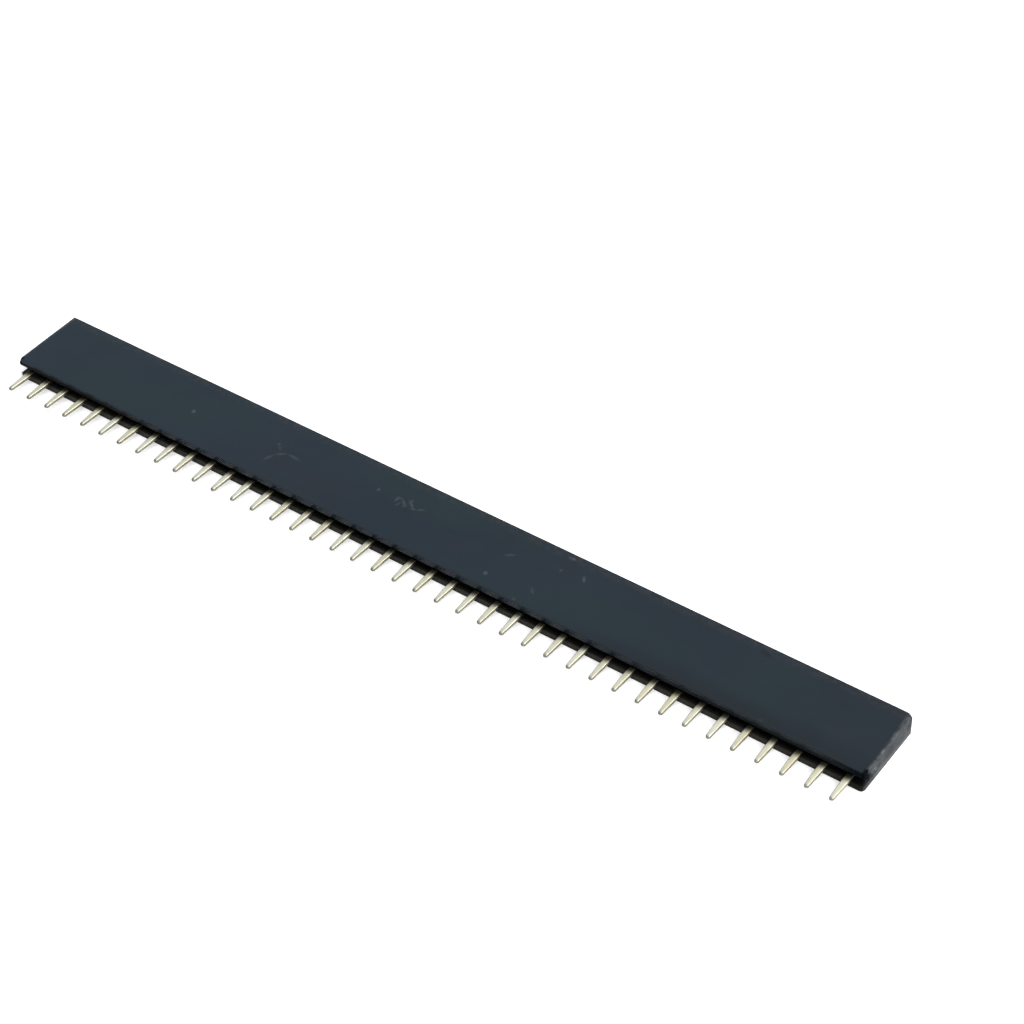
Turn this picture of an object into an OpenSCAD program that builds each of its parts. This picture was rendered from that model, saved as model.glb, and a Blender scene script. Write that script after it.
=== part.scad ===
// Single-row female pin header strip, lying on one broad face.
// X runs along the row, Y from the solder tails to the mating face, Z through the thickness.
// The origin is under the middle of the whole part, on the surface it lies on.
// All lengths are in millimetres.

/* [Row] */
// Number of contact positions in the row
positions = 40; // [2:1:40]
// Distance between neighbouring contacts
pitch = 2.54; // [2.3:0.01:3.2]
// Plastic past half a pitch at each end of the row
end_margin = 0.2; // [0:0.05:1]

/* [Housing] */
// Height of the housing from the stand-off walls to the mating face
body_h = 8.5; // [8.2:0.1:12]
// Thickness of the housing across the row
body_t = 2.5; // [2.2:0.05:3.2]
// Radius on the four long outer edges
edge_r = 0.06; // [0.05:0.01:0.2]
// Width of the channel between the two stand-off walls
channel_w = 1.05; // [1.05:0.05:1.5]
// Depth of the channel, which is the height of the stand-off walls
channel_d = 1.0; // [0.6:0.1:1.4]
// Width along the row of the cavity that holds one contact
cavity_w = 1.4; // [1.4:0.05:1.6]
// Thickness of the wall between the cavities and the mating face
mate_wall = 1.3; // [1:0.1:1.6]
// Side of the square pin hole through the mating wall
pin_hole = 0.8; // [0.7:0.05:1]
// Side of the square lead-in at the mating face
lead_in_w = 1.6; // [1.2:0.05:1.8]
// Depth of the lead-in
lead_in_d = 0.7; // [0.4:0.1:0.8]

/* [Contact] */
// Thickness of the sheet that the contact is stamped from
sheet_t = 0.2; // [0.15:0.01:0.22]
// Length of the solder tail past the stand-off walls
tail_l = 3.2; // [2:0.1:6]
// Width of the solder tail where it leaves the housing
tail_w = 0.64; // [0.5:0.01:0.7]
// Width of the solder tail just before its rounded tip
tail_tip_w = 0.41; // [0.2:0.01:0.48]
// Length of the straight part of the tail before it starts to taper
tail_straight = 0.9; // [0.5:0.1:1.2]
// Width of the base that is pressed into the cavity, without its barbs
base_w = 1.3; // [1.2:0.02:1.34]
// Gap between the two leaf springs where they pinch the pin
pinch_gap = 0.4; // [0.3:0.02:0.5]
// Width of a leaf spring at its free end
leaf_w = 0.8; // [0.6:0.05:1]

/* [Hidden] */
$fn = 32;
eps = 0.01;
length = positions * pitch + 2 * end_margin;
// board plane, on which the stand-off walls stand, and mating face
y_board = (tail_l - body_h) / 2;
y_mate = y_board + body_h;
y_floor = y_board + channel_d;      // floor of the channel, where the cavities start
y_cavity = y_mate - mate_wall;      // far end of the cavities
z_mid = body_t / 2;
half_c = channel_w / 2;
taper_steps = 8;
tip_steps = 5;

// stations of the contact along Y
y_root = y_floor + 0.2;                             // the doubled tail parts into two sheets
y_base = y_root + (half_c - sheet_t) * 1.2;         // both sheets lie on the cavity walls
y_barb = y_base + 0.8;
y_spring = y_base + 1.2;                            // the leaf springs leave the walls
y_pinch = y_cavity - 1.1;
y_tip = y_cavity - 0.25;

function contact_name(i) = str("contact_", i < 10 ? "0" : "", i);
function contact_x(i) = (i - (positions + 1) / 2) * pitch;
function mirrored(p) = concat(p, [for (k = [len(p) - 1 : -1 : 0]) [-p[k][0], p[k][1]]]);

// width of the tail at a distance d below the board plane, and its rounded tip
function tail_half(d) =
    d <= tail_straight ? tail_w / 2
    : tail_w / 2 - (tail_w - tail_tip_w) / 2 * pow((d - tail_straight) / (tail_l - tail_straight), 1.2);
tip_r = tail_tip_w / 2;
function tail_edge() = concat(
    [for (k = [0 : tip_steps]) let (a = 90 * k / tip_steps)
        [max(0.02, tip_r * sin(a)), y_board - tail_l + tip_r * (1 - cos(a))]],
    [for (k = [taper_steps : -1 : 0]) let (d = tail_straight + (tail_l - 1.3 * tip_r - tail_straight) * k / taper_steps)
        [tail_half(d), y_board - d]]);

// offset of a polyline to its left by t, with mitred corners
function unit_normal(a, b) = [a[1] - b[1], b[0] - a[0]] / norm(b - a);
function offset_point(p, k, t) = let (
    n0 = unit_normal(p[max(0, k - 1)], p[max(0, k - 1) + 1]),
    n1 = unit_normal(p[min(len(p) - 2, k)], p[min(len(p) - 2, k) + 1]),
    m = n0 + n1) p[k] + m * (2 * t / (m * m));
function strip(p, t) = concat(p, [for (k = [len(p) - 1 : -1 : 0]) offset_point(p, k, t)]);

// a shape drawn in Y and Z, run along X and centred
module along_x(l) {
    translate([-l / 2, 0, 0]) rotate([90, 0, 90]) linear_extrude(l) children();
}

module rounded_section() {
    r = edge_r;
    translate([y_board + r, 0]) square([body_h - 2 * r, body_t]);
    translate([y_board, r]) square([body_h, body_t - 2 * r]);
    for (y = [y_board + r, y_mate - r], z = [r, body_t - r]) translate([y, z]) circle(r);
}

// lead-ins: a ridge-shaped prism along the row, cut to square pyramids by one prism for each position
module lead_ins() {
    w = lead_in_w / 2;
    h = pin_hole / 2;
    y0 = y_mate - lead_in_d;
    g = (w - h) / lead_in_d * eps;
    intersection() {
        along_x(length - 0.2)
            polygon([[y0, z_mid - h], [y0, z_mid + h], [y_mate + eps, z_mid + w + g], [y_mate + eps, z_mid - w - g]]);
        for (i = [1 : positions]) translate([contact_x(i), 0, -1]) linear_extrude(body_t + 2)
            polygon([[-h, y0], [h, y0], [w + g, y_mate + eps], [-w - g, y_mate + eps]]);
    }
}

// One moulding: a bar with a channel between two stand-off walls on the board side,
// a cavity for each contact and a square hole with a lead-in for each pin.
module housing() {
    color([0.17, 0.19, 0.22]) difference() {
        along_x(length) rounded_section();
        translate([-length / 2 - 1, y_board - 1, z_mid - half_c]) cube([length + 2, channel_d + 1, channel_w]);
        for (i = [1 : positions]) translate([contact_x(i), 0, z_mid]) {
            translate([-cavity_w / 2, y_floor - eps, -half_c]) cube([cavity_w, y_cavity - y_floor + eps, channel_w]);
            translate([-pin_hole / 2, y_cavity - eps, -pin_hole / 2]) cube([pin_hole, mate_wall + 2 * eps, pin_hole]);
        }
        lead_ins();
    }
}

// outline of the contact seen through the thickness: tail, base with barbs, leaf springs
module contact_plan() {
    b = base_w / 2;
    c = cavity_w / 2;
    polygon(mirrored(concat(tail_edge(), [
        [tail_w / 2, y_root], [b, y_base], [b, y_barb - 0.3],
        [c, y_barb - 0.05], [c, y_barb + 0.05], [b, y_barb + 0.05],
        [b, y_spring], [leaf_w / 2 + 0.08, y_spring + 0.5], [leaf_w / 2, y_tip - 0.1], [leaf_w / 2 - 0.1, y_tip]])));
}

// outer faces of one sheet, seen along the row: folded tail, wall, spring, pinch, flared end
sheet_path = [
    [y_floor - 0.4, sheet_t], [y_root, sheet_t], [y_base, half_c], [y_spring, half_c],
    [y_pinch - 0.3, pinch_gap / 2 + sheet_t + 0.02], [y_pinch, pinch_gap / 2 + sheet_t],
    [y_tip, min(half_c - 0.02, pinch_gap / 2 + sheet_t + 0.18)]];

module contact_side() {
    // doubled tail with a coined tip
    polygon([
        [y_board - tail_l, -sheet_t * 0.45], [y_board - tail_l + 0.25, -sheet_t], [y_root, -sheet_t],
        [y_root + 0.18, -sheet_t * 0.7], [y_root + 0.18, sheet_t * 0.7], [y_root, sheet_t],
        [y_board - tail_l + 0.25, sheet_t], [y_board - tail_l, sheet_t * 0.45]]);
    for (m = [0, 1]) mirror([0, m]) polygon(strip(sheet_path, -sheet_t));
}

// One stamped and folded piece: doubled solder tail, U-shaped base and two leaf springs.
module contact(i) {
    color([0.80, 0.77, 0.64]) translate([contact_x(i), 0, z_mid]) {
        intersection() {
            along_x(cavity_w + 2) contact_side();
            translate([0, 0, -half_c - 1]) linear_extrude(channel_w + 2) contact_plan();
        }
        // fold that joins the two sheets along one side of the base
        translate([-base_w / 2, y_base, -half_c]) cube([sheet_t, y_spring - y_base, channel_w]);
    }
}

housing();
for (i = [1 : positions]) contact(i);
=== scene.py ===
import math

import bmesh
import bpy
from mathutils import Matrix, Vector


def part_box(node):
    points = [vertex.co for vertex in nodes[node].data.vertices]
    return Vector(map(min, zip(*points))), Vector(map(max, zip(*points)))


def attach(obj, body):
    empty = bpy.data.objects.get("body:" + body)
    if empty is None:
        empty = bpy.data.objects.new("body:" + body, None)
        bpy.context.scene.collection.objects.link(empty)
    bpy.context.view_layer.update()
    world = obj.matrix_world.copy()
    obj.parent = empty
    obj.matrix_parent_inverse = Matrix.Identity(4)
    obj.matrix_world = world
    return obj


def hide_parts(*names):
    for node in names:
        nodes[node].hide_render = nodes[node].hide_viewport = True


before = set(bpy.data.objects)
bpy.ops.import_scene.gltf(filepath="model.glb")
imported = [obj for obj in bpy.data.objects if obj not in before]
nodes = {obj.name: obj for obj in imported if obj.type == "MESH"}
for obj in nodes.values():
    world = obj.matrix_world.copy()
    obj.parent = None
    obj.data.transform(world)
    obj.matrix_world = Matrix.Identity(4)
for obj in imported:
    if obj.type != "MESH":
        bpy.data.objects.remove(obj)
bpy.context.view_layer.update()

MM = 0.001
lo_h, hi_h = (Vector(v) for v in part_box("housing"))
X_END = hi_h.x            # end faces stand at +-X_END
Y_BOARD, Y_MATE = lo_h.y, hi_h.y
Z_TOP = hi_h.z
TIP_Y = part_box("contact_01")[0][1]
CHANNEL = 1.05 * MM       # width of the channel and of the cavities behind it


# ---------------------------------------------------------------- camera
def camera():
    """The view of the photograph: from above, in front and to the right of the strip's right end."""
    cam = bpy.data.objects.new("camera", bpy.data.cameras.new("camera"))
    bpy.context.collection.objects.link(cam)
    cam.data.sensor_fit = "HORIZONTAL"
    cam.data.sensor_width = 36.0
    cam.data.lens = 36.0 * 2496.44 / 1024.0
    right = Vector((0.808351, 0.587685, -0.034570))
    down = Vector((0.380899, -0.566888, -0.730447))
    ahead = Vector((-0.448870, 0.577290, -0.682093))
    place = Vector((114.847, -132.821, 168.016)) * MM
    cam.matrix_world = Matrix((
        (right.x, -down.x, -ahead.x, place.x),
        (right.y, -down.y, -ahead.y, place.y),
        (right.z, -down.z, -ahead.z, place.z),
        (0, 0, 0, 1)))
    cam.data.clip_start = 0.005
    cam.data.clip_end = 20
    bpy.context.scene.camera = cam
    return cam


# ---------------------------------------------------------------- node helpers
class Mat:
    """A material whose nodes are added one by one."""

    def __init__(self, name):
        self.m = bpy.data.materials.new(name)
        self.m.use_nodes = True
        self.t = self.m.node_tree
        self.t.nodes.clear()
        self.out = self.t.nodes.new("ShaderNodeOutputMaterial")
        self.bsdf = self.t.nodes.new("ShaderNodeBsdfPrincipled")
        self.t.links.new(self.bsdf.outputs[0], self.out.inputs[0])
        self.co = self.t.nodes.new("ShaderNodeTexCoord").outputs["Object"]
        sep = self.t.nodes.new("ShaderNodeSeparateXYZ")
        self.link(self.co, sep.inputs[0])
        self.x, self.y, self.z = sep.outputs

    def link(self, a, b):
        self.t.links.new(a, b)

    def put(self, value, socket):
        if hasattr(value, "links"):
            self.link(value, socket)
        else:
            socket.default_value = value

    def math(self, op, a, b=0.0, c=0.0, clamp=False):
        n = self.t.nodes.new("ShaderNodeMath")
        n.operation, n.use_clamp = op, clamp
        for v, s in zip((a, b, c), n.inputs):
            self.put(v, s)
        return n.outputs[0]

    def ramp(self, v, a, b, to0=0.0, to1=1.0, smooth=True):
        n = self.t.nodes.new("ShaderNodeMapRange")
        n.interpolation_type = "SMOOTHSTEP" if smooth else "LINEAR"
        self.put(v, n.inputs["Value"])
        n.inputs["From Min"].default_value = a
        n.inputs["From Max"].default_value = b
        n.inputs["To Min"].default_value = to0
        n.inputs["To Max"].default_value = to1
        return n.outputs["Result"]

    def scaled(self, sx, sy, sz, add=(0, 0, 0)):
        n = self.t.nodes.new("ShaderNodeMapping")
        self.link(self.co, n.inputs["Vector"])
        n.inputs["Scale"].default_value = (sx, sy, sz)
        n.inputs["Location"].default_value = add
        return n.outputs[0]

    def noise(self, scale, detail=2.0, rough=0.5, vec=None, distortion=0.0):
        n = self.t.nodes.new("ShaderNodeTexNoise")
        self.link(vec or self.co, n.inputs["Vector"])
        n.inputs["Scale"].default_value = scale
        n.inputs["Detail"].default_value = detail
        n.inputs["Roughness"].default_value = rough
        n.inputs["Distortion"].default_value = distortion
        return n.outputs["Fac"]

    def voronoi(self, scale, vec=None, feature="F1"):
        n = self.t.nodes.new("ShaderNodeTexVoronoi")
        n.feature = feature
        self.link(vec or self.co, n.inputs["Vector"])
        n.inputs["Scale"].default_value = scale
        return n.outputs["Distance"]

    def mix(self, fac, a, b):
        n = self.t.nodes.new("ShaderNodeMix")
        n.data_type = "RGBA"
        self.put(fac, n.inputs[0])
        self.put(a, n.inputs[6])
        self.put(b, n.inputs[7])
        return n.outputs[2]

    def blend(self, fac, a, b):
        n = self.t.nodes.new("ShaderNodeMix")
        self.put(fac, n.inputs[0])
        self.put(a, n.inputs[2])
        self.put(b, n.inputs[3])
        return n.outputs[0]

    def bump(self, height, strength, distance, normal=None):
        n = self.t.nodes.new("ShaderNodeBump")
        n.inputs["Strength"].default_value = strength
        n.inputs["Distance"].default_value = distance
        self.put(height, n.inputs["Height"])
        if normal is not None:
            self.link(normal, n.inputs["Normal"])
        return n.outputs[0]

    def spot(self, x, y, turn, half_l, half_w):
        """1 inside a long oval mark on the broad face, with its centre and half sizes in mm, falling softly to 0."""
        n = self.t.nodes.new("ShaderNodeMapping")
        n.vector_type = "TEXTURE"
        self.link(self.co, n.inputs["Vector"])
        n.inputs["Location"].default_value = (x * MM, y * MM, Z_TOP)
        n.inputs["Rotation"].default_value = (0, 0, math.radians(turn))
        n.inputs["Scale"].default_value = (half_l * MM, half_w * MM, 0.5 * MM)
        d = self.t.nodes.new("ShaderNodeVectorMath")
        d.operation = "LENGTH"
        self.link(n.outputs[0], d.inputs[0])
        return self.ramp(d.outputs["Value"], 1.0, 0.25)

    def marks(self, rows):
        """The strongest of several marks, each (x, y, turn, half length, half width, strength)."""
        total = 0.0
        for *where, strength in rows:
            total = self.math("MAXIMUM", total, self.math("MULTIPLY", self.spot(*where), strength))
        return total

    def set(self, name, value):
        self.put(value, self.bsdf.inputs[name])


# ---------------------------------------------------------------- materials
# Scuffs and specks on the upper broad face: x, y, turn in degrees, half length, half width, strength
SCUFFS = [
    (-4.05, 1.95, 75, 0.42, 0.20, 0.35), (-2.35, 2.20, 10, 0.45, 0.22, 0.42), (-3.10, 3.05, 95, 0.35, 0.20, 0.35),
    (-30.00, 1.29, 20, 0.32, 0.36, 0.82), (-19.40, 2.24, 0, 0.25, 0.30, 0.45), (-18.95, 1.84, -40, 0.58, 0.18, 0.25),
    (-19.05, 0.15, 67, 0.79, 0.26, 0.41), (-18.30, 1.22, 38, 0.89, 0.22, 0.45), (-16.90, 1.55, -3, 1.10, 0.22, 0.41),
    (-6.90, 2.55, 0, 0.25, 0.33, 0.49), (-4.53, 2.48, 92, 0.58, 0.24, 0.49), (-4.20, 2.76, -10, 0.47, 0.21, 0.33),
    (-3.60, 2.40, -40, 0.63, 0.24, 0.45), (-2.90, 2.66, -36, 0.79, 0.24, 0.53), (-3.30, 2.10, 60, 0.42, 0.21, 0.37),
    (-1.60, 2.55, 40, 0.63, 0.21, 0.41), (9.30, 2.29, 34, 0.79, 0.20, 0.36), (8.82, -0.99, 30, 0.32, 0.36, 0.62),
    (14.56, 5.22, 0, 0.65, 0.24, 0.66), (14.56, 3.29, 0, 0.21, 0.27, 0.49), (17.05, 3.50, -56, 0.58, 0.24, 0.61),
    (13.90, -0.46, -48, 0.63, 0.21, 0.33), (13.07, -2.30, 0, 0.32, 0.24, 0.37), (40.20, -2.30, 10, 0.36, 0.27, 0.37)]
# Darker ovals on the upper broad face, same columns: the long ones at y = -2.8 and the one at x = 36.5 are painted
# shade along the pin edge, the other two plain darker marks
DARK_OVALS_AND_SHADE = [(36.30, 4.90, -20, 0.90, 0.50, 1.0), (36.50, -1.30, 15, 1.60, 0.70, 0.6), (-9.90, -1.30, 80, 0.60, 0.45, 0.4),
           (38.00, -2.80, 1, 30.0, 3.00, 0.85), (8.00, -2.80, 0, 16.0, 1.20, 0.25)]


def housing_plastic():
    m = Mat("housing_plastic")
    ax = m.math("ABSOLUTE", m.x)
    mottle = m.noise(1500, 4, 0.7)
    blotch = m.noise(420, 2, 0.5)
    ragged = m.noise(700, 3, 0.6)
    face = m.ramp(ax, X_END - 0.06 * MM, X_END - 0.02 * MM)      # the two end faces, where the bar was parted
    wall = m.math("ADD", m.y, m.math("MULTIPLY", m.math("SUBTRACT", ragged, 0.5), 0.30 * MM))
    wall = m.math("ADD", wall, m.math("MULTIPLY", m.math("SUBTRACT", m.z, Z_TOP), 0.6))
    body = m.ramp(wall, Y_BOARD + 0.52 * MM, Y_BOARD + 0.78 * MM)
    body = m.math("MAXIMUM", body, m.ramp(m.z, Z_MID - 0.30 * MM, Z_MID - 0.60 * MM, 0.0, 0.4))
    end = m.math("MULTIPLY", face, body)                         # torn, but for the tip of the upper stand-off wall

    # colour: near-black with a cool cast, which is partly painted sky sheen, a little greener and more purple by turns
    tone = m.noise(90, 3, 0.6)
    hue = m.noise(1, 2, 0.5, m.scaled(75, 190, 190, (0.31, 0.12, 0)))
    black = m.mix(m.ramp(tone, 0.3, 0.7), (0.0032, 0.0108, 0.0188, 1), (0.0056, 0.0140, 0.0226, 1))
    black = m.mix(m.ramp(hue, 0.50, 0.72, 0.0, 0.8), black, (0.0040, 0.0158, 0.0196, 1))
    black = m.mix(m.ramp(hue, 0.48, 0.28, 0.0, 0.8), black, (0.0072, 0.0112, 0.0204, 1))
    inside = m.ramp(m.math("ABSOLUTE", m.math("SUBTRACT", m.z, Z_MID)), CHANNEL / 2 + 0.04 * MM, CHANNEL / 2 + 0.01 * MM)
    inside = m.math("MULTIPLY", inside, m.ramp(m.y, Y_MATE - 0.66 * MM, Y_MATE - 0.76 * MM))
    black = m.mix(inside, black, (0.0180, 0.0195, 0.0135, 1))    # neutral in the channel, where the painted sky sheen of the outer faces stops
    # painted shade on the lower wall's inner face just inside the channel mouth, weaker towards the left end
    sill_shade = m.math("MULTIPLY", m.ramp(m.y, Y_BOARD + 0.85 * MM, Y_BOARD + 0.50 * MM), m.ramp(m.z, Z_MID, Z_MID - 0.40 * MM))
    sill_shade = m.math("MULTIPLY", m.math("MULTIPLY", inside, sill_shade), m.ramp(m.x, -36 * MM, -22 * MM, 0.2, 0.7))
    black = m.mix(sill_shade, black, (0.0045, 0.0050, 0.0036, 1))
    # painted shade deeper in the channel towards each end of the bar
    ends = m.math("MULTIPLY", inside, m.ramp(ax, X_END - 2.2 * MM, X_END - 1.0 * MM))
    black = m.mix(ends, black, (0.0030, 0.0034, 0.0028, 1))
    # board-side wall ends carry painted light and shade: darker towards both ends of the bar, a painted highlight along
    # the top of the upper wall, painted light low on the lower wall
    front = m.ramp(m.y, Y_BOARD + 0.05 * MM, Y_BOARD + 0.015 * MM)
    low = m.ramp(m.z, Z_MID - 0.30 * MM, Z_MID - 0.50 * MM)
    far = m.math("MAXIMUM", m.ramp(m.x, 18 * MM, 38 * MM), m.ramp(m.x, -26 * MM, -42 * MM))
    wall_end_light_and_shade = m.mix(far, (0.0034, 0.0140, 0.0285, 1), (0.0030, 0.0080, 0.0125, 1))
    last = m.ramp(m.x, 46.5 * MM, 48.5 * MM)
    # painted highlight along the top edge of the upper wall end, left off near the right end
    upper = m.math("MULTIPLY", m.ramp(m.z, Z_TOP - 0.30 * MM, Z_TOP - 0.02 * MM), m.math("SUBTRACT", 1.0, last))
    wall_end_light_and_shade = m.mix(upper, wall_end_light_and_shade, (0.0190, 0.0265, 0.0370, 1))
    # lower wall end: painted warm reflected light towards the bottom, painted shade towards its top and near the right
    # end
    lip = m.math("MULTIPLY", m.ramp(m.z, 0.48 * MM, 0.70 * MM, 0.0, 0.8), m.ramp(m.x, -36 * MM, -22 * MM, 0.2, 1.0))
    lower_wall_end_light_and_shade = m.mix(m.math("MAXIMUM", lip, m.math("MULTIPLY", last, 0.6)), (0.0380, 0.0345, 0.0260, 1), (0.0060, 0.0058, 0.0050, 1))
    wall_end_light_and_shade = m.mix(low, wall_end_light_and_shade, lower_wall_end_light_and_shade)
    black = m.mix(front, black, wall_end_light_and_shade)
    # painted shade, near black, at the front upper corner of each end, where the upper wall meets the end face
    tip = m.math("MULTIPLY", m.ramp(m.y, Y_BOARD + 0.78 * MM, Y_BOARD + 0.52 * MM), m.ramp(ax, X_END - 0.45 * MM, X_END - 0.10 * MM))
    tip = m.math("MULTIPLY", tip, m.ramp(m.z, Z_MID, Z_MID + 0.40 * MM))
    black = m.mix(tip, black, (0.0012, 0.0018, 0.0026, 1))

    # dull grey torn plastic on the ends, with a pale rim where it turns on to the broad face
    cut = m.mix(m.ramp(mottle, 0.32, 0.68), (0.028, 0.034, 0.039, 1), (0.120, 0.127, 0.134, 1))
    cut = m.mix(m.ramp(blotch, 0.45, 0.72), cut, (0.040, 0.047, 0.053, 1))
    cut = m.mix(m.ramp(m.noise(900, 2, 0.5, m.scaled(1, 1, 1, (0.02, 0.01, 0.03))), 0.60, 0.72), cut, (0.145, 0.152, 0.160, 1))
    # lighter towards the bottom of the end faces
    cut = m.mix(m.ramp(m.z, 0.80 * MM, 0.45 * MM, 0.0, 0.55), cut, (0.175, 0.182, 0.188, 1))
    reach = m.math("ADD", ax, m.math("MULTIPLY", m.math("SUBTRACT", ragged, 0.5), 0.30 * MM))
    reach = m.math("ADD", reach, m.ramp(m.y, Y_BOARD + 3.0 * MM, Y_MATE, 0.0, 0.16 * MM))
    rim = m.math("MULTIPLY", m.ramp(reach, X_END - 0.30 * MM, X_END + 0.02 * MM, 0.0, 0.55), body)

    # faint scuffs and specks on the upper broad face, broken up by a fine noise
    top = m.ramp(m.z, Z_TOP - 0.05 * MM, Z_TOP - 0.01 * MM)
    grit = m.ramp(m.noise(4200, 2, 0.6), 0.25, 0.60, 0.45, 1.0)
    mark = m.math("MULTIPLY", m.math("MULTIPLY", m.marks(SCUFFS), top), grit)
    dark_ovals_and_shade = m.math("MULTIPLY", m.marks(DARK_OVALS_AND_SHADE), top)
    specks = m.ramp(m.voronoi(230), 0.0, 0.05, 1.0, 0.0)
    specks = m.math("MULTIPLY", specks, m.ramp(m.noise(140, 1), 0.60, 0.66, 0.0, 0.5))
    specks = m.math("MULTIPLY", specks, m.math("SUBTRACT", 1.0, top))
    mate_edge_sheen = m.math("MULTIPLY", m.ramp(m.y, Y_MATE - 1.3 * MM, Y_MATE - 0.4 * MM, 0.0, 0.7), m.ramp(m.noise(1700, 3, 0.7), 0.40, 0.62))
    black = m.mix(m.math("MULTIPLY", mate_edge_sheen, top), black, (0.0200, 0.0220, 0.0250, 1))      # painted sheen, lighter along the mating edge
    mark = m.math("MAXIMUM", mark, specks)
    black = m.mix(mark, black, (0.060, 0.072, 0.084, 1))
    # darker ovals, partly painted shade along the pin edge
    black = m.mix(m.math("MULTIPLY", dark_ovals_and_shade, 0.8), black, (0.0018, 0.0050, 0.0095, 1))
    worn = m.math("MAXIMUM", end, rim)
    m.set("Base Color", m.mix(worn, black, cut))

    # roughness: soft moulded sheen, rougher where scuffed and on the parted ends
    r = m.ramp(m.noise(240, 3, 0.6), 0.3, 0.7, 0.30, 0.38)
    r = m.math("ADD", r, m.math("MULTIPLY", mark, 0.10))
    r = m.math("ADD", r, m.math("MULTIPLY", dark_ovals_and_shade, 0.06))
    r = m.blend(inside, r, 0.60)
    r = m.blend(m.math("MULTIPLY", front, m.math("SUBTRACT", 1.0, low)), r, m.blend(far, 0.17, 0.30))      # polished by the tool
    dull = m.math("MULTIPLY", m.math("MAXIMUM", far, last), m.ramp(m.z, Z_TOP - 0.10 * MM, Z_TOP - 0.45 * MM))
    dull = m.math("MULTIPLY", m.math("MAXIMUM", dull, last), m.math("MULTIPLY", front, m.math("SUBTRACT", 1.0, low)))
    r = m.blend(dull, r, 0.85)
    r = m.blend(tip, r, 0.95)
    m.set("Roughness", m.blend(worn, r, m.ramp(mottle, 0.3, 0.7, 0.50, 0.70)))
    m.bsdf.inputs["IOR"].default_value = 1.50
    mouth = m.math("MULTIPLY", m.ramp(m.y, Y_BOARD + 0.95 * MM, Y_BOARD + 0.60 * MM), m.ramp(m.x, 48.5 * MM, 50.2 * MM))
    mouth = m.math("MULTIPLY", mouth, m.ramp(m.z, Z_TOP - 0.03 * MM, Z_TOP - 0.08 * MM))
    m.set("Specular IOR Level", m.blend(m.math("MAXIMUM", tip, mouth), 0.30, 0.08))      # no sheen at the dark front corner

    # relief: slow sink waves, fine spark-eroded grain, scuffs, and torn grain with saw lines on the ends
    slow = m.bump(m.noise(140, 1, 0.4), 0.12, 0.10 * MM)
    grain = m.bump(m.noise(5200, 2, 0.6), 0.10, 0.008 * MM, slow)
    grain = m.bump(mark, 0.20, 0.01 * MM, grain)
    saw = m.noise(1, 2, 0.5, m.scaled(600, 500, 9000))
    torn = m.math("ADD", m.math("MULTIPLY", m.noise(2600, 4, 0.7), 0.8), m.math("MULTIPLY", saw, 0.35))
    rough = m.bump(torn, 0.55, 0.05 * MM, grain)
    normal = m.t.nodes.new("ShaderNodeMix")
    normal.data_type = "VECTOR"
    m.put(end, normal.inputs[0])
    m.link(grain, normal.inputs[4])
    m.link(rough, normal.inputs[5])
    m.link(normal.outputs[1], m.bsdf.inputs["Normal"])
    return m.m


def contact_metal():
    m = Mat("contact_metal")
    # gold flash over tin-coloured alloy, a little different from one contact to the next
    each = m.noise(1, 1, 0.5, m.scaled(610, 40, 40))
    gold = m.mix(m.ramp(each, 0.35, 0.65), (0.865, 0.815, 0.590, 1), (0.985, 0.945, 0.760, 1))
    streak = m.noise(1, 3, 0.6, m.scaled(9000, 700, 9000))
    gold = m.mix(m.ramp(streak, 0.45, 0.75, 0.0, 0.35), gold, (0.620, 0.585, 0.450, 1))
    tip = m.ramp(m.y, TIP_Y + 1.30 * MM, TIP_Y + 0.35 * MM)
    gold = m.mix(m.math("MULTIPLY", tip, 0.42), gold, (0.480, 0.470, 0.435, 1))
    # painted shade at the rounded end of the tip
    gold = m.mix(m.ramp(m.y, TIP_Y + 0.45 * MM, TIP_Y + 0.15 * MM, 0.0, 0.40), gold, (0.230, 0.220, 0.195, 1))
    root = m.math("MULTIPLY", m.ramp(m.y, Y_BOARD - 0.95 * MM, Y_BOARD - 0.18 * MM, 0.0, 0.93),
                  m.ramp(m.y, Y_BOARD + 1.4 * MM, Y_BOARD + 1.0 * MM))
    gold = m.mix(root, gold, (0.060, 0.048, 0.026, 1))           # painted shade where it leaves the channel
    m.set("Base Color", gold)
    m.bsdf.inputs["Metallic"].default_value = 1.0
    r = m.ramp(m.noise(1, 3, 0.6, m.scaled(5200, 900, 5200)), 0.3, 0.7, 0.27, 0.38)
    r = m.blend(m.ramp(m.y, Y_BOARD - 1.8 * MM, Y_BOARD - 0.9 * MM), r, 0.44)
    m.set("Roughness", m.blend(tip, r, 0.48))
    lines = m.bump(m.noise(1, 2, 0.5, m.scaled(14000, 600, 14000)), 0.12, 0.004 * MM)
    dimple = m.bump(m.noise(1500, 2, 0.5), 0.12, 0.012 * MM, lines)
    lean = m.bump(m.noise(330, 1, 0.4), 1.0, 0.05 * MM, dimple)        # no two tails lie at quite the same angle
    m.link(lean, m.bsdf.inputs["Normal"])
    return m.m


def floor_material():
    """White paper, exposed to full white where it is seen; what it casts back on the part is a mid tone."""
    m = Mat("studio_floor")
    tone = m.noise(9, 2, 0.5)
    seen = m.t.nodes.new("ShaderNodeLightPath").outputs["Is Camera Ray"]
    pale = m.mix(m.ramp(tone, 0.3, 0.7), (0.790, 0.792, 0.790, 1), (0.810, 0.810, 0.807, 1))
    m.set("Base Color", m.mix(seen, (0.500, 0.502, 0.500, 1), pale))
    m.bsdf.inputs["Emission Color"].default_value = (1, 1, 1, 1)
    m.set("Emission Strength", m.math("MULTIPLY", seen, 0.45))
    m.bsdf.inputs["Roughness"].default_value = 0.9
    m.bsdf.inputs["Specular IOR Level"].default_value = 0.2
    return m.m


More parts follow.
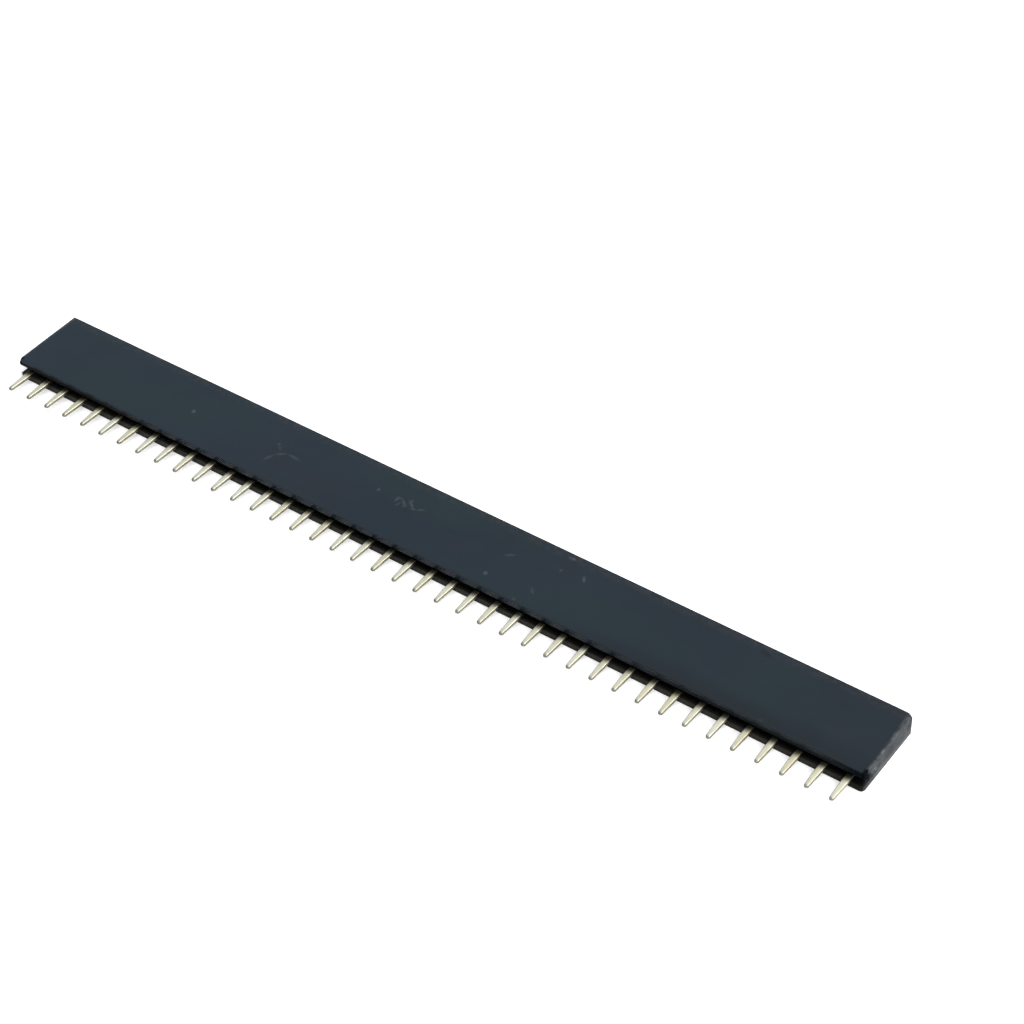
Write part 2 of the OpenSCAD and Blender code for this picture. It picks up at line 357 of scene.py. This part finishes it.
# ---------------------------------------------------------------- pieces
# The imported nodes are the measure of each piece. These meshes have the same form, with the
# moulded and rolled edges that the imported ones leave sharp.
POSITIONS = sum(1 for n in nodes if n.startswith("contact_"))
Z_MID = Z_TOP / 2


def centre_x(name):
    lo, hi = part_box(name)
    return (lo[0] + hi[0]) / 2


def piece(name, me, material, node):
    me.materials.clear()
    me.materials.append(material)
    for p in me.polygons:
        p.use_smooth = True
    obj = bpy.data.objects.new(name, me)
    bpy.context.collection.objects.link(obj)
    n = obj.modifiers.new("normals", "WEIGHTED_NORMAL")
    n.weight = 90
    n.keep_sharp = False
    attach(obj, "root")
    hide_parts(node)
    return obj


def round_edges(bm, test, width, segments):
    """Rounds the edges whose two ends both pass the test."""
    picked = [e for e in bm.edges if len(e.link_faces) == 2 and test(e)]
    bmesh.ops.bevel(bm, geom=picked, offset=width, offset_type="OFFSET", segments=segments, profile=0.5,
                    affect="EDGES", clamp_overlap=False, miter_outer="SHARP", miter_inner="SHARP", loop_slide=True)
    return len(picked)


def near(a, b):
    return abs(a - b) < 1e-7


def knock(bm, corner, by, reach):
    """Pushes in one corner of the bar, no further from it than reach."""
    for k in range(3):
        at = corner.copy()
        at[k] -= math.copysign(reach, corner[k] - (Z_MID if k == 2 else 0.0))
        normal = Vector([float(j == k) for j in range(3)])
        part = [f for f in bm.faces if any((w.co - corner).length < 4 * MM for w in f.verts)]
        part += list({e for f in part for e in f.edges}) + list({w for f in part for w in f.verts})
        bmesh.ops.bisect_plane(bm, geom=part, dist=1e-7, plane_co=at, plane_no=normal)
    for w in bm.verts:
        near_by = 1 - (w.co - corner).length / reach
        if near_by > 0:
            w.co += by * min(1.0, 1.25 * near_by)


def build_housing(material):
    """The moulded bar: stand-off walls, channel, cavities, square pin holes and their lead-ins."""
    centres = [centre_x(f"contact_{i + 1:02d}") for i in range(POSITIONS)]
    cuts = [-X_END] + [(a + b) / 2 for a, b in zip(centres, centres[1:])] + [X_END]
    yb, ym = Y_BOARD, Y_MATE
    yf, yc, yl = yb + 1.0 * MM, ym - 1.3 * MM, ym - 0.7 * MM
    zb, zt = 0.0, Z_TOP
    z1, z2 = Z_MID - CHANNEL / 2, Z_MID + CHANNEL / 2
    bm = bmesh.new()
    seen = {}

    def v(p):
        key = tuple(round(c * 1e7) for c in p)
        if key not in seen:
            seen[key] = bm.verts.new(p)
        return seen[key]

    def face(*ps):
        return bm.faces.new([v(p) for p in ps])

    def ring(outer, y_out, inner, y_in):
        """Four faces between two rectangles, each given as (x0, x1, z0, z1)."""
        a, b = ([(r[0], y, r[2]), (r[1], y, r[2]), (r[1], y, r[3]), (r[0], y, r[3])]
                for r, y in ((outer, y_out), (inner, y_in)))
        for k in range(4):
            face(a[k], a[(k + 1) % 4], b[(k + 1) % 4], b[k])

    for c, xa, xb in zip(centres, cuts, cuts[1:]):
        ca, cb = c - 0.7 * MM, c + 0.7 * MM
        hole = (c - 0.4 * MM, c + 0.4 * MM, Z_MID - 0.4 * MM, Z_MID + 0.4 * MM)
        lead = (c - 0.8 * MM, c + 0.8 * MM, Z_MID - 0.8 * MM, Z_MID + 0.8 * MM)
        for z in (zb, zt):
            face((xa, yb, z), (xb, yb, z), (xb, ym, z), (xa, ym, z))
        for za, zc in ((zb, z1), (zt, z2)):
            face((xa, yb, za), (xb, yb, za), (xb, yb, zc), (xa, yb, zc))
            face((xa, yb, zc), (xb, yb, zc), (xb, yf, zc), (cb, yf, zc), (ca, yf, zc), (xa, yf, zc))
        for x0, x1 in ((xa, ca), (cb, xb)):
            face((x0, yf, z1), (x1, yf, z1), (x1, yf, z2), (x0, yf, z2))
        for x in (ca, cb):
            face((x, yf, z1), (x, yc, z1), (x, yc, z2), (x, yf, z2))
        for z in (z1, z2):
            face((ca, yf, z), (cb, yf, z), (cb, yc, z), (ca, yc, z))
        ring((ca, cb, z1, z2), yc, hole, yc)
        ring(hole, yc, hole, yl)
        ring(hole, yl, lead, ym)
        ring((xa, xb, zb, zt), ym, lead, ym)
    for x in (-X_END, X_END):
        face((x, yb, zb), (x, ym, zb), (x, ym, zt), (x, yb, zt), (x, yb, z2), (x, yf, z2), (x, yf, z1), (x, yb, z1))
    bmesh.ops.recalc_face_normals(bm, faces=bm.faces)

    def along(e):
        a, b = e.verts
        return near(a.co.y, b.co.y) and near(a.co.z, b.co.z)

    def outer_edge(e):
        p = e.verts[0].co
        return along(e) and (near(p.y, yb) or near(p.y, ym)) and (near(p.z, zb) or near(p.z, zt))

    def crisp_edge(e):
        a, b = (w.co for w in e.verts)
        if e.calc_face_angle(0.0) < math.radians(35) or e.is_convex is False:
            return False
        if near(abs(a.x), X_END) and near(abs(b.x), X_END):
            return True                                   # round each end face
        if near(a.y, yb) and near(b.y, yb):
            return True                                   # mouth of the channel
        return near(a.y, ym) and near(b.y, ym)            # mouths of the lead-ins

    round_edges(bm, outer_edge, 0.05 * MM, 4)
    bmesh.ops.recalc_face_normals(bm, faces=bm.faces)
    round_edges(bm, crisp_edge, 0.035 * MM, 2)
    for w in bm.verts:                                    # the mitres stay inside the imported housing
        for k in range(3):
            w.co[k] = min(max(w.co[k], lo_h[k]), hi_h[k])
    knock(bm, Vector((X_END, ym, zt)), Vector((-0.13, -0.12, 0)) * MM, 0.45 * MM)
    knock(bm, Vector((X_END, yb, zb)), Vector((-0.12, 0.10, 0)) * MM, 0.40 * MM)
    knock(bm, Vector((-X_END, yb, zt)), Vector((0.12, 0.09, 0)) * MM, 0.40 * MM)
    me = bpy.data.meshes.new("housing_moulding")
    bm.to_mesh(me)
    bm.free()
    return piece("housing_moulding", me, material, "housing")


def section(w, h, r, n, groove=0.0):
    """A rounded rectangle with half sizes w and h; groove is the seam between two folded layers."""
    r = min(r, 0.95 * w, 0.85 * h)
    g = min(groove, 0.3 * w, 0.8 * (h - r))
    pts = []
    for sx, sz, a0 in ((1, 1, 0), (-1, 1, 90), (-1, -1, 180), (1, -1, 270)):
        arc = []
        for k in range(n + 1):
            a = math.radians(a0 + 90 * k / n)
            arc.append((sx * (w - r) + r * math.cos(a), sz * (h - r) + r * math.sin(a)))
        pts += arc
        if g and a0 in (90, 270):
            pts += [(sx * w, sz * g), (sx * (w - g), 0.0), (sx * w, -sz * g)]
    return pts


def loft(bm, rings):
    rows = [[bm.verts.new(p) for p in r] for r in rings]
    for a, b in zip(rows, rows[1:]):
        for k in range(len(a)):
            j = (k + 1) % len(a)
            bm.faces.new((a[k], a[j], b[j], b[k]))
    bm.faces.new(rows[0][::-1])
    bm.faces.new(rows[-1])


def rounded_path(pts, cut, n=4):
    """A polyline of 2-D points with each corner rounded."""
    out = [pts[0]]
    for a, p, b in zip(pts, pts[1:], pts[2:]):
        la, lb = (a - p).length, (b - p).length
        s, e = p + (a - p) * min(cut / la, 0.45), p + (b - p) * min(cut / lb, 0.45)
        for k in range(n + 1):
            t = k / n
            out.append(s * (1 - t) ** 2 + p * 2 * t * (1 - t) + e * t * t)
    out.append(pts[-1])
    return out


def table(rows, x):
    for (x0, y0), (x1, y1) in zip(rows, rows[1:]):
        if x <= x1:
            return y0 + (y1 - y0) * max(0.0, x - x0) / (x1 - x0)
    return rows[-1][1]


def shell(name, rings):
    bm = bmesh.new()
    loft(bm, rings)
    bmesh.ops.recalc_face_normals(bm, faces=bm.faces)
    me = bpy.data.meshes.new(name)
    bm.to_mesh(me)
    bm.free()
    obj = bpy.data.objects.new(name, me)
    bpy.context.collection.objects.link(obj)
    return obj


def contact_mesh():
    """One folded stamping about x = 0: doubled tail with a rounded tip, base in the cavity, two leaf springs."""
    lo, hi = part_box("contact_01")
    tip, end, yb = lo[1], hi[1], Y_BOARD
    root = yb + 1.2 * MM
    out = CHANNEL / 2 - 0.105 * MM                # middle of a sheet that lies on the cavity wall
    base = root + 0.39 * MM
    spring = base + 1.2 * MM
    pinch = Y_MATE - 2.4 * MM
    barb = base + 0.8 * MM
    length, straight, r_tip = yb - tip, 0.9 * MM, 0.205 * MM

    def half_w(y):
        d = yb - y
        if d <= straight:
            return 0.32 * MM
        return (0.32 - 0.115 * ((d - straight) / (length - straight)) ** 1.2) * MM

    def half_t(y):
        return min(0.2 * MM, 0.09 * MM + (y - tip) * 0.44)

    rings = [(tip, 0.02 * MM, 0.05 * MM)]
    for k in range(1, 9):
        a = math.radians(90 * k / 8)
        y = tip + r_tip * (1 - math.cos(a))
        rings.append((y, max(0.03 * MM, half_w(tip + r_tip) * math.sin(a)), half_t(y) * math.sin(a) ** 0.35))
    y = tip + r_tip
    while y < root - 0.01 * MM:
        y = min(y + 0.19 * MM, root)
        rings.append((y, half_w(y), half_t(y)))
    rings.append((root + 0.16 * MM, 0.31 * MM, 0.15 * MM))
    tail = shell("tail", [[(px, y, Z_MID + pz)
                           for px, pz in section(w, h, (0.10 if y < yb + 0.5 * MM else 0.06) * MM, 5, 0.022 * MM)]
                          for y, w, h in rings])
    parts = [tail]

    line = [Vector((root - 0.30 * MM, 0.085 * MM)), Vector((root + 0.02 * MM, 0.095 * MM)), Vector((base, out)),
            Vector((spring, out)), Vector((pinch, 0.3 * MM)), Vector((end - 0.02 * MM, 0.40 * MM))]
    path = rounded_path(line, 0.16 * MM)
    widths = [(root - 0.4 * MM, 0.29), (root - 0.05 * MM, 0.30), (base - 0.05 * MM, 0.64), (base, 0.65),
              (barb - 0.3 * MM, 0.65), (barb - 0.05 * MM, 0.695), (barb + 0.05 * MM, 0.695), (barb + 0.07 * MM, 0.65),
              (spring, 0.65), (spring + 0.5 * MM, 0.48), (end - 0.12 * MM, 0.40), (end - 0.03 * MM, 0.33), (end, 0.30)]
    full = []
    for a, b in zip(path, path[1:]):
        full.append(a)
        for y in sorted(w[0] for w in widths if a.x + 1e-6 < w[0] < b.x - 1e-6):
            full.append(a.lerp(b, (y - a.x) / (b.x - a.x)))
    full.append(path[-1])
    for side in (1, -1):
        rings = []
        for k, p in enumerate(full):
            d = (full[min(k + 1, len(full) - 1)] - full[max(k - 1, 0)]).normalized()
            n = Vector((-d.y, d.x))
            b = table(widths, p.x) * MM
            rings.append([(px, p.x + n.x * pz, Z_MID + side * (p.y + n.y * pz)) for px, pz in section(b, 0.1 * MM, 0.045 * MM, 3)])
        parts.append(shell("sheet", rings))

    rings = []
    for y, inset in ((base + 0.02 * MM, 0.03), (base + 0.05 * MM, 0), (spring - 0.05 * MM, 0), (spring - 0.02 * MM, 0.03)):
        rings.append([(-0.545 * MM + px, y, Z_MID + pz)
                      for px, pz in section((0.1 - inset) * MM, CHANNEL / 2 - (0.015 + inset) * MM, 0.05 * MM, 3)])
    parts.append(shell("fold", rings))

    whole = parts[0]
    for other in parts[1:]:
        b = whole.modifiers.new("join", "BOOLEAN")
        b.operation, b.solver, b.object = "UNION", "EXACT", other
    deps = bpy.context.evaluated_depsgraph_get()
    me = bpy.data.meshes.new_from_object(whole.evaluated_get(deps))
    bm = bmesh.new()
    bm.from_mesh(me)
    bmesh.ops.remove_doubles(bm, verts=bm.verts, dist=0.0015 * MM)
    bmesh.ops.dissolve_degenerate(bm, edges=bm.edges, dist=0.0015 * MM)
    bmesh.ops.recalc_face_normals(bm, faces=bm.faces)
    bm.to_mesh(me)
    bm.free()
    for o in parts:
        old = o.data
        bpy.data.objects.remove(o)
        bpy.data.meshes.remove(old)
    return me


def build_contacts(material):
    pattern = contact_mesh()
    for i in range(POSITIONS):
        node = f"contact_{i + 1:02d}"
        me = pattern.copy()
        me.name = node + "_stamping"
        me.transform(Matrix.Translation((centre_x(node), 0, 0)))
        piece(node + "_stamping", me, material, node)
    bpy.data.meshes.remove(pattern)


build_housing(housing_plastic())
build_contacts(contact_metal())


# ---------------------------------------------------------------- stage and light
def stage():
    me = bpy.data.meshes.new("floor")
    s = 3.0
    me.from_pydata([(-s, -s, 0), (s, -s, 0), (s, s, 0), (-s, s, 0)], [], [(0, 1, 2, 3)])
    floor = bpy.data.objects.new("floor", me)
    bpy.context.collection.objects.link(floor)
    me.materials.append(floor_material())


def area(name, place, aim, size, power, colour=(1, 1, 1)):
    d = bpy.data.lights.new(name, "AREA")
    d.shape = "RECTANGLE"
    d.size, d.size_y = size
    d.energy = power
    d.color = colour
    o = bpy.data.objects.new(name, d)
    bpy.context.collection.objects.link(o)
    o.location = place
    o.rotation_euler = (Vector(aim) - Vector(place)).to_track_quat("-Z", "Y").to_euler()
    return o


def lights():
    """A light tent, open towards the viewer: pale at the back, dimmer to the left, dark in front, one big soft light overhead.
    Where nothing stands in front of it, it is plain white like the floor."""
    w = bpy.data.worlds.new("studio")
    bpy.context.scene.world = w
    w.use_nodes = True
    t = w.node_tree
    sep = t.nodes.new("ShaderNodeSeparateXYZ")
    t.links.new(t.nodes.new("ShaderNodeTexCoord").outputs["Generated"], sep.inputs[0])
    ramp = t.nodes.new("ShaderNodeMapRange")
    ramp.interpolation_type = "SMOOTHSTEP"
    ramp.inputs["From Min"].default_value = -0.35
    ramp.inputs["From Max"].default_value = 0.30
    t.links.new(sep.outputs[1], ramp.inputs["Value"])
    mix = t.nodes.new("ShaderNodeMix")
    mix.data_type = "RGBA"
    mix.inputs[6].default_value = (0.10, 0.108, 0.115, 1)
    side = t.nodes.new("ShaderNodeMapRange")
    side.inputs["From Min"].default_value = -1.0
    t.links.new(sep.outputs[0], side.inputs["Value"])
    back = t.nodes.new("ShaderNodeValToRGB")
    back.color_ramp.elements[0].position, back.color_ramp.elements[0].color = 0.19, (0.62, 0.70, 0.76, 1)
    back.color_ramp.elements[1].position, back.color_ramp.elements[1].color = 0.36, (0.77, 0.77, 0.75, 1)
    mid = back.color_ramp.elements.new(0.265)
    mid.color = (0.76, 0.81, 0.90, 1)
    t.links.new(side.outputs[0], back.inputs[0])
    t.links.new(back.outputs[0], mix.inputs[7])
    t.links.new(ramp.outputs[0], mix.inputs[0])
    plain = t.nodes.new("ShaderNodeMix")
    plain.data_type = "RGBA"
    plain.inputs[7].default_value = (1, 1, 1, 1)
    t.links.new(t.nodes.new("ShaderNodeLightPath").outputs["Is Camera Ray"], plain.inputs[0])
    t.links.new(mix.outputs[2], plain.inputs[6])
    t.links.new(plain.outputs[2], t.nodes["Background"].inputs[0])
    t.nodes["Background"].inputs[1].default_value = 1.0
    area("top_softbox", (0.50, -0.02, 0.90), (0, 0, 0), (0.8, 0.9), 13.0)


camera()
stage()
lights()
sc = bpy.context.scene
sc.view_settings.view_transform = "Standard"
sc.view_settings.look = "None"
sc.view_settings.exposure = 0.0
sc.view_settings.gamma = 1.0
